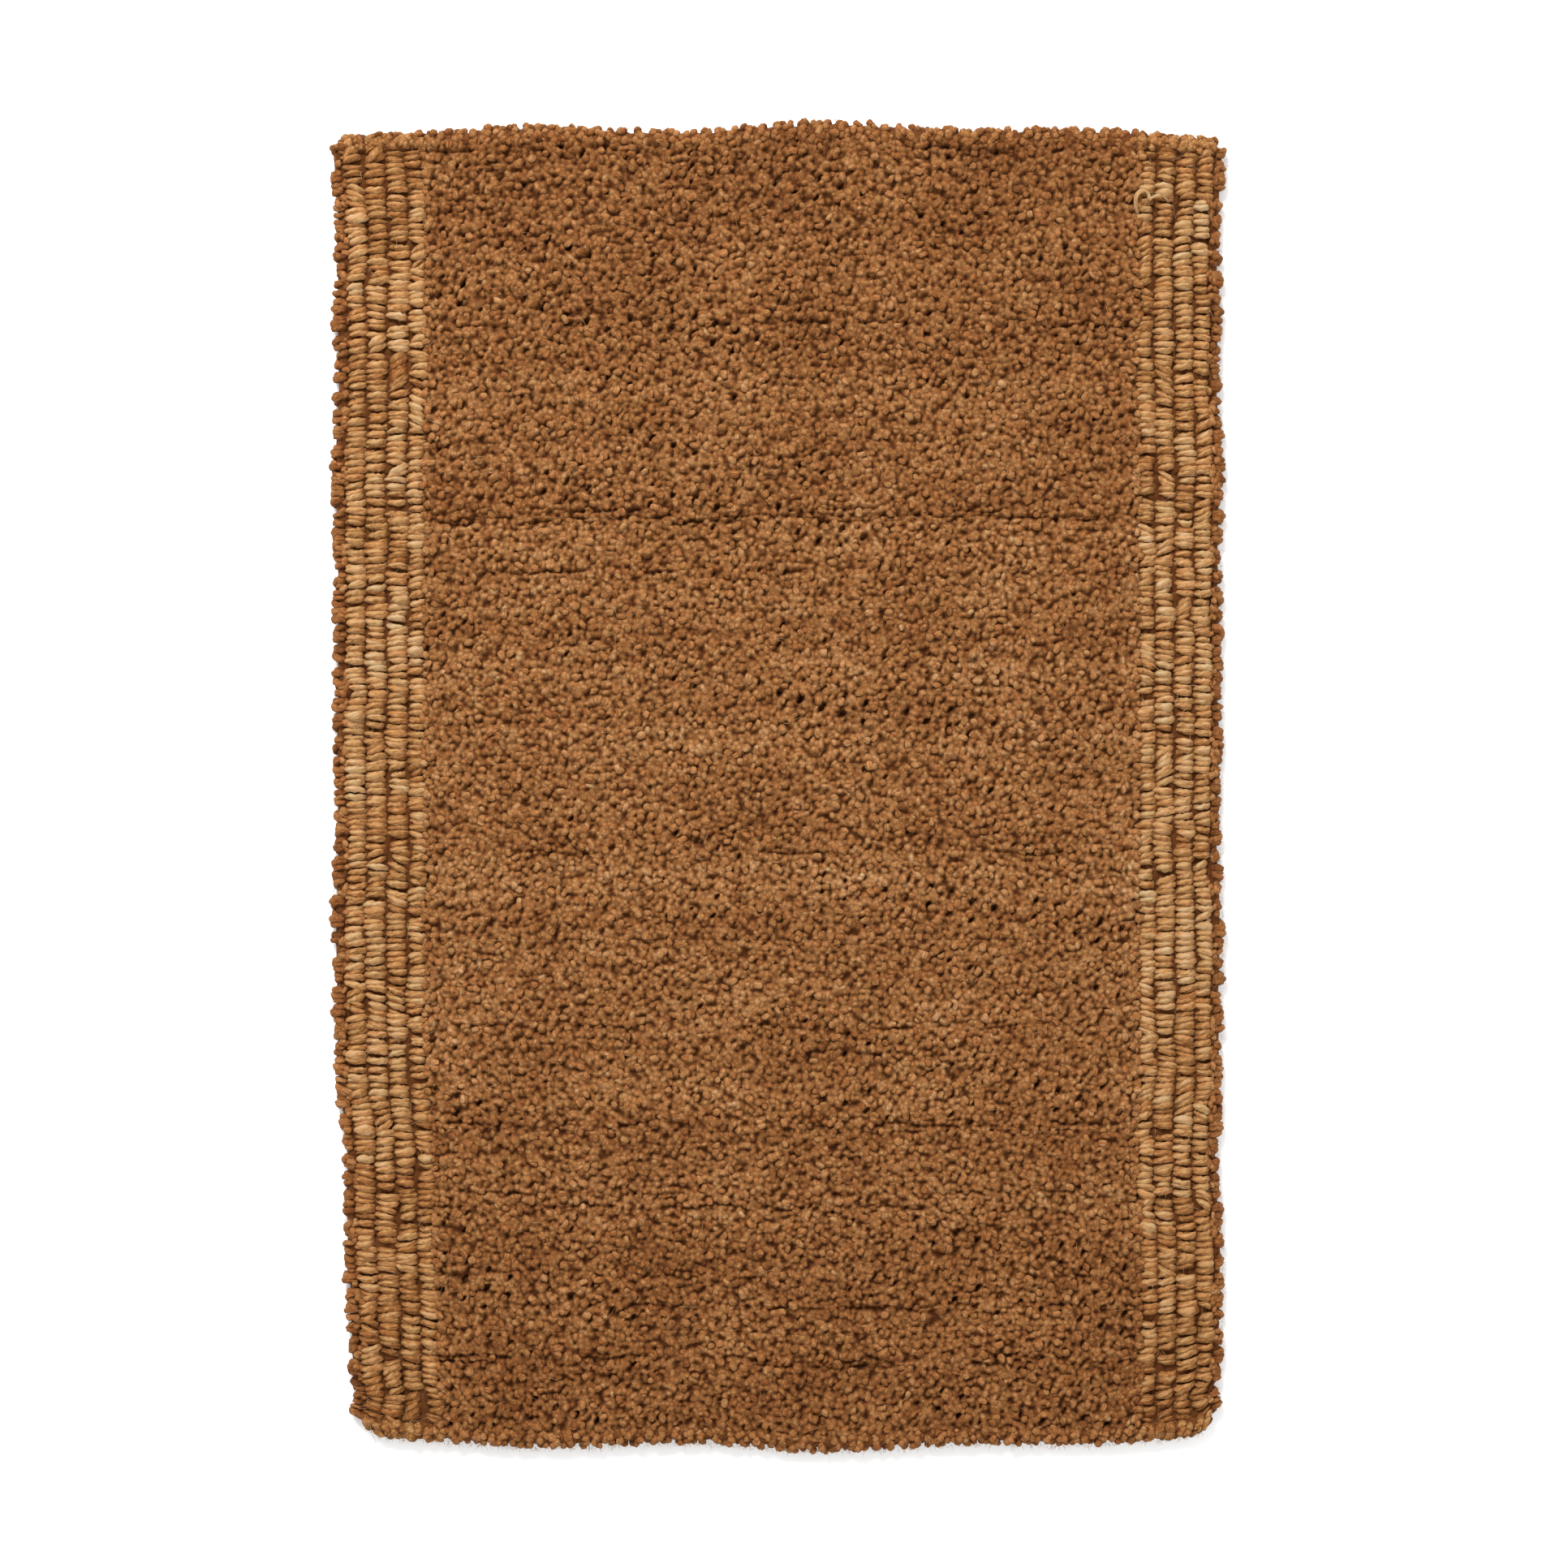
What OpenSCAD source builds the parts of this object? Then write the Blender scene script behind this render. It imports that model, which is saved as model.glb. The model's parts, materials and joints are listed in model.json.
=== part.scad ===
// Woven door mat: a ground weave that carries cut pile in the middle, columns of
// loops along both sides, a wrapped cord on each side edge and turned-under hems.
// Width runs along X, length along Y, and the mat lies on z = 0 with its pile up.
// The mat rolls up from its far end, so it is divided into bands that hinge on
// each other. A band's upper edges slope back to leave room for the bend.

/* [Mat] */
// Width over both wrapped edge cords
mat_w = 600; // [500:10:800]
// Length over both rolled ends
mat_l = 900; // [860:10:1200]
// Height of the cut pile above the floor
mat_h = 18; // [16:1:24]

/* [Ground weave] */
// Thickness of the woven ground
ground_h = 5; // [4:0.5:6]

/* [Border] */
// Columns of loops along each side
loop_columns = 4; // [1:1:6]
// Distance between the middles of neighbouring columns
column_pitch = 13.2; // [11:0.2:16]
// Gap between one column and the next
column_gap = 0.8; // [0.4:0.1:1.6]
// Height of the loops above the floor
loop_h = 16; // [12:1:16]
// Width of the wrapped cord along a side edge
cord_w = 9; // [7:1:11]
// Height of the wrapped cord above the floor
cord_h = 13; // [12:1:16]

/* [Ends] */
// Length of the hem that is turned under each end
hem_l = 30; // [20:1:32]
// Thickness of the turned-under hem
hem_h = 2.6; // [2:0.2:3]
// Distance by which the loop columns stop short of the pile at each end
loop_setback = 3; // [0:1:6]
// Distance between neighbouring hem stitches
stitch_pitch = 20; // [14:1:30]
// Length of one hem stitch
stitch_l = 9; // [5:1:12]
// Thickness of the sewing cord
stitch_d = 1.4; // [1:0.2:1.8]

/* [Rolling up] */
// Difference in length between one band and the next, shorter towards the far end
band_step = 12; // [8:1:12]
// Bend at the first hinge line, fully rolled up, in degrees
first_bend = 44; // [30:1:44]
// Added bend at each further hinge line, in degrees
bend_step = 2; // [0:0.5:2]

/* [Colours] */
// Reddish-brown cut pile
pile_color = "#91603a";
// Tan border loops
loop_color = "#b98a58";
// Dark wrapped edge cord
cord_color = "#8a5a34";
// Natural jute ground
ground_color = "#a5794b";
// Turned-under hem
hem_color = "#9c7044";
// Pale sewing cord
stitch_color = "#cdb48a";

/* [Hidden] */
bands = 9;
half_w = mat_w / 2;
half_l = mat_l / 2;
loop_r = loop_h / 2;
cord_r = cord_w / 2;
ground_w = mat_w - 2 * cord_w;
column_w = column_pitch - column_gap;
columns_w = loop_columns * column_pitch;
pile_w = ground_w - 2 * columns_w;
ground_l = mat_l - mat_h;
hem_end = ground_l / 2;
hinge_z = ground_h - 1;
hinge_gap = 0.3;
spare_bend = 1;
first_band_l = mat_l / bands + band_step * (bands - 1) / 2;
below = 5;
above = 5;
$fn = 48;

// Length of band k, counted from 1 at the near end
function band_l(k) = first_band_l - band_step * (k - 1);

// Y of the hinge line between band k and band k + 1; line 0 is the near end
function hinge_y(k) = k == 0 ? -half_l : hinge_y(k - 1) + band_l(k);

// Full bend at hinge line k, in degrees
function bend(k) = first_bend + bend_step * (k - 1);

// Setback at height top of an edge that leaves room for half the bend at line k
function slope_back(k, top) = (top - hinge_z) * tan(bend(k) / 2 + spare_bend);

// Extrudes a side view, drawn with Y to the right and Z up, from x0 to x1
module along_x(x0, x1) {
    translate([x0, 0, 0])
        rotate([90, 0, 90])
            linear_extrude(height = x1 - x0)
                children();
}

// Side view of the space that band k fills
module band_window(k) {
    top = mat_h + above;
    near = k == 1 ? -half_l - above : hinge_y(k - 1) + hinge_gap / 2;
    far = k == bands ? half_l + above : hinge_y(k) - hinge_gap / 2;
    near_slope = k == 1 ? 0 : slope_back(k - 1, top);
    far_slope = k == bands ? 0 : slope_back(k, top);
    polygon([
        [near, -below],
        [far, -below],
        [far, hinge_z],
        [far - far_slope, top],
        [near + near_slope, top],
        [near, hinge_z]
    ]);
}

// Side view of a layer of height h whose two ends are rounded from top to floor
module rounded_layer(length, h) {
    middle = length - h;
    translate([-middle / 2, 0])
        square([middle, h]);
    for (side = [-1, 1])
        translate([side * middle / 2, h / 2])
            circle(d = h);
}

// Side view of everything that lies on top of the ground weave or beyond its ends
module over_ground(length, h) {
    difference() {
        rounded_layer(length, h);
        translate([-ground_l / 2, -below])
            square([ground_l, below + ground_h]);
    }
}

// Side view of the hem, laid flat under the near (-1) or far (1) end
module hem_side(side) {
    start = side < 0 ? -hem_end : hem_end - hem_l;
    translate([start, 0])
        square([hem_l, hem_h]);
}

// Woven ground of band k, thinner where a hem is turned under it
module ground_weave(k) {
    color(ground_color)
        along_x(-ground_w / 2, ground_w / 2)
            difference() {
                intersection() {
                    translate([-ground_l / 2, 0])
                        square([ground_l, ground_h]);
                    band_window(k);
                }
                for (side = [-1, 1])
                    hem_side(side);
            }
}

// Block that the cut pile tufts of band k fill
module centre_pile(k) {
    color(pile_color)
        along_x(-pile_w / 2, pile_w / 2)
            intersection() {
                over_ground(mat_l, mat_h);
                band_window(k);
            }
}

// Columns of loops of band k, on the left (-1) or right (1) side
module loops(k, side) {
    color(loop_color)
        for (column = [0:loop_columns - 1]) {
            middle = side * (pile_w / 2 + (column + 0.5) * column_pitch);
            along_x(middle - column_w / 2, middle + column_w / 2)
                intersection() {
                    over_ground(mat_l - 2 * loop_setback, loop_h);
                    band_window(k);
                }
        }
}

// Wrapped cord of band k along the left (-1) or right (1) edge
module edge_cord(k, side) {
    cord_l = ground_l + loop_r;
    color(cord_color)
        intersection() {
            translate([side * (half_w - cord_r), cord_l / 2, 0])
                rotate([90, 0, 0])
                    linear_extrude(height = cord_l) {
                        for (z = [cord_r, cord_h - cord_r])
                            translate([0, z])
                                circle(r = cord_r);
                        translate([-cord_r, cord_r])
                            square([cord_w, cord_h - cord_w]);
                    }
            along_x(-half_w - above, half_w + above)
                band_window(k);
        }
}

// Row of straight stitches along the middle of the near (-1) or far (1) hem
module stitch_row(side) {
    count = floor((ground_w - stitch_pitch) / stitch_pitch);
    y = side * (hem_end - hem_l / 2);
    for (i = [0:count - 1])
        translate([(i - (count - 1) / 2) * stitch_pitch - stitch_l / 2, y - stitch_d / 2, 0])
            cube([stitch_l, stitch_d, stitch_d]);
}

// Hem strip with the channels that its stitches lie in
module hem(side) {
    color(hem_color)
        difference() {
            along_x(-ground_w / 2, ground_w / 2)
                hem_side(side);
            stitch_row(side);
        }
}

// Sewing cord that holds the hem
module hem_stitches(side) {
    color(stitch_color)
        stitch_row(side);
}

for (k = [1:bands]) {
    ground_weave(k);
    centre_pile(k);
    loops(k, -1);
    loops(k, 1);
    edge_cord(k, -1);
    edge_cord(k, 1);
}
hem(-1);  // near_hem
hem(1);  // far_hem
hem_stitches(-1);  // near_hem_stitches
hem_stitches(1);  // far_hem_stitches
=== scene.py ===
"""A woven door mat: cut pile in the middle, columns of loops along both sides, yarn wrapped
over the side edges, and ends that roll over onto hems. Lengths are in metres."""

import json
import math

import bpy
import numpy as np
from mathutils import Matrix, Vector

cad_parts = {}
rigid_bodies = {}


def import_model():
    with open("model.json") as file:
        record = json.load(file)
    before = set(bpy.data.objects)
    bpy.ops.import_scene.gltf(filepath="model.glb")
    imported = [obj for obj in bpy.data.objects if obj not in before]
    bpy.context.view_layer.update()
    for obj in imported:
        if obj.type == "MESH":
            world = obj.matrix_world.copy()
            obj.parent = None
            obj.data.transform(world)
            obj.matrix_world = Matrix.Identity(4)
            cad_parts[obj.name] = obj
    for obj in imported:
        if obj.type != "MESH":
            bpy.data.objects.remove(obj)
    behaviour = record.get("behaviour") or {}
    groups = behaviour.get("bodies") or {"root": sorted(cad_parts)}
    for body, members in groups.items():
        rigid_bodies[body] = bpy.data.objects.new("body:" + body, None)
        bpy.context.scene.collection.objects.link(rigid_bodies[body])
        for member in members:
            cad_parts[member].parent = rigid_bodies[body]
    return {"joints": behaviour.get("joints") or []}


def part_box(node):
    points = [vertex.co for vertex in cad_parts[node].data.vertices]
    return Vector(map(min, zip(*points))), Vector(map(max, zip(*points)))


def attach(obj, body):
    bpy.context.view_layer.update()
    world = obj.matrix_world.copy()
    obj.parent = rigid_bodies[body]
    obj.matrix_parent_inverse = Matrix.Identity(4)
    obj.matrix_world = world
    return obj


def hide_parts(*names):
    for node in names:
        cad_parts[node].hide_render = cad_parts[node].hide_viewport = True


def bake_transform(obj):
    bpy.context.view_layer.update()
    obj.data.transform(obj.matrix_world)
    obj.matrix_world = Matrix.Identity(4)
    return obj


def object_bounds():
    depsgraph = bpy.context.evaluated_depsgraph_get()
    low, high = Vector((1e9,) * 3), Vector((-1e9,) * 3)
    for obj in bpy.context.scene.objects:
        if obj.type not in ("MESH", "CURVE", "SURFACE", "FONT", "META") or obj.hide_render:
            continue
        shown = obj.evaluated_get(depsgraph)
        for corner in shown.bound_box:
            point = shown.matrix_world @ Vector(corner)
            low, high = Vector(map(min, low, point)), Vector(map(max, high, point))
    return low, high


MM = 0.001
SEED = 173
SIDES = {"left": -1, "right": 1}
ENDS = {"near": -1, "far": 1}

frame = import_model()
cad_low, cad_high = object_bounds()
random = np.random.default_rng(SEED)

# ---------------------------------------------------------------- what the frame says

MIDDLE_BAND = 5
HALF_W = cad_high.x
HALF_L = cad_high.y
PILE_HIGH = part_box(f"centre_pile_{MIDDLE_BAND}")[1]
LOOP_LOW, LOOP_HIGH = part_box(f"right_loops_{MIDDLE_BAND}")
CORD_LOW, CORD_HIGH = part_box(f"right_edge_cord_{MIDDLE_BAND}")
GROUND_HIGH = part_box(f"ground_weave_{MIDDLE_BAND}")[1]
HEM_LOW, HEM_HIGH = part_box("far_hem")
STITCH_LOW, STITCH_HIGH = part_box("far_hem_stitches")
GROUND_TOP = GROUND_HIGH.z
GROUND_END = HEM_HIGH.y
JOINTS = sorted(frame["joints"], key=lambda joint: joint["pos_m"][1])
HINGES = [joint["pos_m"][1] for joint in JOINTS]
EDGES = [-HALF_L, *HINGES, HALF_L]
BAND_MIDDLES = [(a + b) / 2 for a, b in zip(EDGES, EDGES[1:])]
# Half the shorter of the two bands at each hinge line; it sets where the first piece ends
BENDS = [min(b - a, c - b) / 2 for a, b, c in zip(EDGES, EDGES[1:], EDGES[2:])]
# The pieces: one that rides on the first band, then one across each hinge line
CUTS = [HINGES[0] - BENDS[0], *BAND_MIDDLES[1:-1]]
PIECE_ENDS = [-GROUND_END, *CUTS, GROUND_END]
PIECES = len(CUTS) + 1

# ---------------------------------------------------------------- smooth random values

WAVES = 5
RIPPLES = 7


def ripple(draw, along, wavelength):
    """One sine wave, of about this length and with a phase of its own."""
    return np.sin(along * 2 * np.pi / (wavelength * draw.uniform(0.6, 1.7)) + draw.uniform(0, 6.3))


def waves(across, wavelength, seed):
    """A smooth random value from about -1 to 1 along one direction."""
    draw = np.random.default_rng(seed)
    total = np.zeros_like(across)
    for _ in range(WAVES):
        total += ripple(draw, across, wavelength)
    return total / math.sqrt(WAVES)


def drift(x, y, wavelength, seed):
    """A smooth random value from about -1 to 1 over the mat."""
    draw = np.random.default_rng(seed)
    total = np.zeros_like(x)
    for _ in range(RIPPLES):
        turn = draw.uniform(0, np.pi)
        total += ripple(draw, x * math.cos(turn) + y * math.sin(turn), wavelength)
    return total / math.sqrt(RIPPLES)


def ease(t):
    """0 up to t = 0 and 1 from t = 1, with a smooth rise between."""
    t = np.clip(t, 0, 1)
    return t * t * (3 - 2 * t)


# ---------------------------------------------------------------- the mat's uneven outline

# The sides are shorter than the middle by this share of the length
END_BOW = 0.017
# The left side stands out, but it is tucked in near the near end
LEFT_BULGE = 3.4 * MM
NEAR_TUCK = 7.5 * MM
TUCK_START = 0.3
TUCK_REACH = 0.6
# The two near corners are rounded off
CORNER_CUT = 11 * MM
CORNER_START_U, CORNER_REACH_U = 0.88, 0.12
CORNER_START_V, CORNER_REACH_V = 0.9, 0.1
# Everything between the side edges lies a little to the right
PILE_SHIFT = 2.8 * MM
SHIFT_REACH_LEFT = 0.2
SHIFT_REACH_RIGHT = 0.06
# Both sides are pinched in at one place near the near end
PINCH = 4 * MM
PINCH_Y = -0.93 * HALF_L
PINCH_L = 9 * MM
# Sides and ends wander to and fro, in waves of about these lengths
SIDE_WANDER = 1.6 * MM
SIDE_WAVE = 0.16
END_WANDER = 2.0 * MM
END_WAVE = 0.21
FLOOR_CLEAR = 0.2 * MM


def settle(points):
    """Moves points from the true rectangle to the mat's slightly bowed and tucked outline.
    u and v run from -1 to 1 over the mat's width and length."""
    x, y = points[..., 0], points[..., 1]
    u, v = x / HALF_W, y / HALF_L
    out = points.copy()
    pinch = PINCH * np.exp(-(((y - PINCH_Y) / PINCH_L) ** 2))
    left = -LEFT_BULGE + (LEFT_BULGE + NEAR_TUCK) * ease((-v - TUCK_START) / TUCK_REACH)
    corner = CORNER_CUT * ease((np.abs(u) - CORNER_START_U) / CORNER_REACH_U) ** 2
    corner = corner * ease((-v - CORNER_START_V) / CORNER_REACH_V)
    out[..., 0] += PILE_SHIFT * ease((1 + u) / SHIFT_REACH_LEFT) * ease((1 - u) / SHIFT_REACH_RIGHT)
    out[..., 0] += left * (1 - u) / 2 - u**3 * pinch + SIDE_WANDER * waves(y, SIDE_WAVE, 11) * u
    out[..., 1] += corner - y * END_BOW * u**2 + END_WANDER * waves(x, END_WAVE, 12) * v**3
    out[..., 2] = np.maximum(out[..., 2], FLOOR_CLEAR)
    return out


# ---------------------------------------------------------------- strands of yarn

PLIES = 3


class Strands:
    """Yarn ends, loops or hairs of one kind, all with the same number of rings and sides."""

    def __init__(self, path, binormal, radius, sides, tone, depth, twist=0.0, lobe=0.0, rough=0.0):
        """path is (n, rings, 3) and radius (n, rings). tone (n) is the yarn's own lightness
        and depth (n, rings) how far a ring lies in the open, from 0 at the ground to 1: the material
        paints shade where it is low.
        twist turns the plies along the yarn, lobe is how far they stand out, and rough is
        how uneven the surface is."""
        n, rings, _ = path.shape
        tangent = np.gradient(path, axis=1)
        tangent /= np.linalg.norm(tangent, axis=2, keepdims=True)
        side = binormal[:, None, :]
        side = side - (side * tangent).sum(2, keepdims=True) * tangent
        side /= np.linalg.norm(side, axis=2, keepdims=True)
        up = np.cross(side, tangent)
        step = np.linalg.norm(np.diff(path, axis=1), axis=2)
        run = np.concatenate([np.zeros((n, 1)), np.cumsum(step, axis=1)], axis=1)
        ply = np.arange(sides) * 2 * np.pi / sides
        swell = 1 + lobe * np.cos(PLIES * ply) + rough * random.standard_normal((n, rings, sides))
        spread = (radius[:, :, None] * swell)[..., None]
        turn = (ply - twist * run[:, :, None])[..., None]
        ring = np.cos(turn) * up[:, :, None, :] + np.sin(turn) * side[:, :, None, :]
        points = path[:, :, None, :] + spread * ring
        self.points = points.reshape(n, rings * sides, 3)
        # The Y of each strand's root, which decides the piece that it belongs to
        self.at = path[:, 0, 1].copy()
        wide = radius[:, :, None]
        fibre = [wide * np.cos(ply), wide * np.sin(ply), run[:, :, None]]
        shade = [tone[:, None, None], depth[:, :, None], random.uniform(0, 1, (n, 1, 1))]
        self.fibre = stacked(fibre, swell.shape).reshape(n, rings * sides, 3)
        self.shade = stacked(shade, swell.shape).reshape(n, rings * sides, 3)
        self.faces = tube_faces(rings, sides)


def stacked(parts, shape):
    """Arrays that may lack an axis, as the x, y and z of one array."""
    return np.stack([np.broadcast_to(part, shape) for part in parts], axis=-1)


def tube_faces(rings, sides):
    """The faces of one tube: its sides, and its two ends."""
    low = np.arange(rings * sides).reshape(rings, sides)
    after = np.roll(low, -1, axis=1)
    walls = np.stack([low[:-1], after[:-1], after[1:], low[1:]], axis=-1).reshape(-1, 4)
    return walls, np.stack([low[-1], low[0, ::-1]])


def unit(angle):
    """Level unit vectors at these angles from +X."""
    return np.stack([np.cos(angle), np.sin(angle), np.zeros_like(angle)], axis=-1)


def mesh_piece(name, points, faces, fibre, shade, material):
    """Makes one mesh object. faces is a list of arrays, each of faces with one number of
    corners. fibre is a point's place in its yarn: across it, across it, and along it. shade
    is its yarn's tone, its depth, from which the material paints shade, and a random number of
    its strand's own."""
    corners = np.concatenate([kind.ravel() for kind in faces])
    sizes = np.concatenate([np.full(len(kind), kind.shape[1]) for kind in faces])
    mesh = bpy.data.meshes.new(name)
    mesh.vertices.add(len(points))
    mesh.vertices.foreach_set("co", settle(points).ravel())
    mesh.loops.add(corners.size)
    mesh.loops.foreach_set("vertex_index", corners)
    mesh.polygons.add(sizes.size)
    mesh.polygons.foreach_set("loop_start", np.cumsum(sizes) - sizes)
    mesh.update(calc_edges=True)
    for attribute, values in (("fibre", fibre), ("shade", shade)):
        layer = mesh.attributes.new(attribute, "FLOAT_VECTOR", "POINT")
        layer.data.foreach_set("vector", np.ascontiguousarray(values, np.float32).ravel())
    mesh.shade_smooth()
    mesh.materials.append(material)
    piece = bpy.data.objects.new(name, mesh)
    bpy.context.scene.collection.objects.link(piece)
    return piece


def strand_piece(name, groups, index, material, bed=None):
    """Joins the strands that belong to piece number index, counted from the near end, and
    the bed of packed yarn that they stand on."""
    points, faces, fibre, shade = [], [], [], []
    offset = 0
    for strands in groups:
        mine = np.searchsorted(CUTS, strands.at) == index
        n, per = int(mine.sum()), strands.points.shape[1]
        if n == 0:
            continue
        points.append(strands.points[mine].reshape(-1, 3))
        fibre.append(strands.fibre[mine].reshape(-1, 3))
        shade.append(strands.shade[mine].reshape(-1, 3))
        first = offset + np.arange(n)[:, None, None] * per
        faces += [(kind[None] + first).reshape(-1, kind.shape[1]) for kind in strands.faces]
        offset += n * per
    if bed:
        points.append(bed.points)
        fibre.append(bed.fibre)
        shade.append(bed.shade)
        faces += [kind + offset for kind in bed.faces]
    points, fibre, shade = [np.concatenate(part) for part in (points, fibre, shade)]
    return mesh_piece(name, points, faces, fibre, shade, material)


def hold(piece, index):
    """Makes a piece ride on the first band; any other piece has its place baked into its mesh."""
    if index == 0:
        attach(piece, JOINTS[0]["parent"])
        return
    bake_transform(piece)


# ---------------------------------------------------------------- solids made from a grid

# How deep the flat underside of a bed of yarn lies in the ground weave
BED_SINK = 0.5 * MM


class GridSolid:
    """A solid between a grid of points (rows, columns, 3) and a flat face at height flat_z.
    The grid is its top, or its underside when the flat face is above."""

    def __init__(self, grid, flat_z):
        rows, columns, _ = grid.shape
        number = np.arange(rows * columns).reshape(rows, columns)
        west, east = grid[:, 0].copy(), grid[:, -1].copy()
        west[:, 2] = east[:, 2] = flat_z
        self.points = np.concatenate([grid.reshape(-1, 3), west, east])
        w = number.size + np.arange(rows)
        e = w + rows
        patches = [
            (number[:-1, :-1], number[:-1, 1:], number[1:, 1:], number[1:, :-1]),
            (w[:-1], w[1:], e[1:], e[:-1]),
            (number[:-1, 0], number[1:, 0], w[1:], w[:-1]),
            (number[:-1, -1], e[:-1], e[1:], number[1:, -1]),
        ]
        quads = np.concatenate([np.stack(patch, axis=-1).reshape(-1, 4) for patch in patches])
        near = np.array([[w[0], e[0], *number[0, ::-1]]])
        far = np.array([[e[-1], w[-1], *number[-1]]])
        self.faces = [quads, near, far]
        if flat_z > grid[0, 0, 2]:
            self.faces = [kind[:, ::-1] for kind in self.faces]
        self.fibre = self.points
        # Set by what makes the solid
        self.shade = None

    def on_points(self, values):
        """Values on the grid (rows, columns), repeated on the edges of the flat face."""
        return np.concatenate([values.ravel(), values[:, 0], values[:, -1]])


def level_grid(x0, x1, y0, y1, step):
    """X and Y of a grid of points about step apart."""
    x = np.linspace(x0, x1, int(round((x1 - x0) / step)) + 1)
    y = np.linspace(y0, y1, int(round((y1 - y0) / step)) + 1)
    y, x = np.meshgrid(y, x, indexing="ij")
    return x, y


# ---------------------------------------------------------------- centre pile

# Mounds of packed tufts: their spacing, half their width, and the furthest one reaches
CLUMP_STEP = 3.75 * MM
CLUMP_R = 2.05 * MM
CLUMP_REACH = 4.6 * MM
CLUMP_SPREAD = 0.30
# The surface that they make: its grid, its middle below the pile's top, and its floor
BED_STEP = 1.1 * MM
BED_DROP = 4.6 * MM
BED_MIN = 0.4 * MM
# How far it reaches under the loops, and how much the edge wanders there
PILE_SPILL = 3.0 * MM
SPILL_WANDER = 1.2 * MM
# Small gaps between tufts, and the longer gaps between rows
PIT_DEPTH = 5.5 * MM
PIT_WAVE = 0.009
PIT_LEVEL = 1.45
PIT_MORE_AT_ENDS = 0.25
ROW_GAPS = 16
ROW_GAP_W = 1.0 * MM
ROW_GAP_WANDER = 1.2 * MM
ROW_GAP_SHARE = 0.7
# Single tufts: their spacing, thickness and twist
TUFT_STEP = 8.6 * MM
TUFT_SPREAD = 0.32
TUFT_R = 1.9 * MM
TUFT_SIDES = 8
TUFT_TWIST = 2 * np.pi / (24 * MM)
SEAM_TUFTS = 240
# A tuft's path, from root to tip: sideways from its middle, upwards, and its thickness
TUFT_OUT = np.array([0.05, 0.30, 0.75, 1.0]) - 0.45
TUFT_UP = np.array([0.45, 0.92, 1.0, 0.82])
TUFT_TAPER = np.array([0.95, 1.08, 1.05, 0.60])


def patch_tone(x, y):
    """The slow change of tone over the mat. It is darker towards its ends, partly the yarn's own
    colour and partly painted shade.
    """
    return 0.17 * drift(x, y, 0.11, 21) + 0.16 * waves(y, 0.07, 22) - 0.55 * (y / HALF_L) ** 2


def pits(x, y):
    """1 in the small gaps between tufts and 0 elsewhere. There are more near the ends."""
    level = drift(x, y, PIT_WAVE, 34) - PIT_LEVEL + PIT_MORE_AT_ENDS * (y / HALF_L) ** 4
    holes = ease(level / 0.4)
    draw = np.random.default_rng(37)
    rows = np.zeros_like(x)
    for middle in draw.uniform(-HALF_L, HALF_L, ROW_GAPS):
        open_part = ease(2 * drift(x, y, 0.06, int(draw.integers(1000))))
        path = ROW_GAP_WANDER * waves(x, 0.05, int(draw.integers(1000)))
        away = (y - middle - path) / ROW_GAP_W
        rows = np.maximum(rows, ROW_GAP_SHARE * open_part * np.exp(-(away**2)))
    return np.maximum(holes, rows)


def scattered(step, half_x, half_y, spread):
    """X and Y of points on a loose staggered grid."""
    rows, columns = int(2 * half_y / step), int(2 * half_x / step)
    row, column = np.meshgrid(np.arange(rows), np.arange(columns), indexing="ij")
    x = (column.ravel() + 0.25 + 0.5 * (row.ravel() % 2)) * 2 * half_x / (columns - 0.5) - half_x
    y = (row.ravel() + 0.5) * 2 * half_y / rows - half_y
    x = x + random.normal(0, spread * step, x.size)
    y = y + random.normal(0, spread * step, y.size)
    return np.clip(x, -half_x, half_x), np.clip(y, -half_y, half_y)


def lean(x, y, spread):
    """The direction in which the yarn at these places leans."""
    return 1.2 * np.pi * drift(x, y, 0.035, 32) + random.normal(0, spread, x.size)


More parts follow.
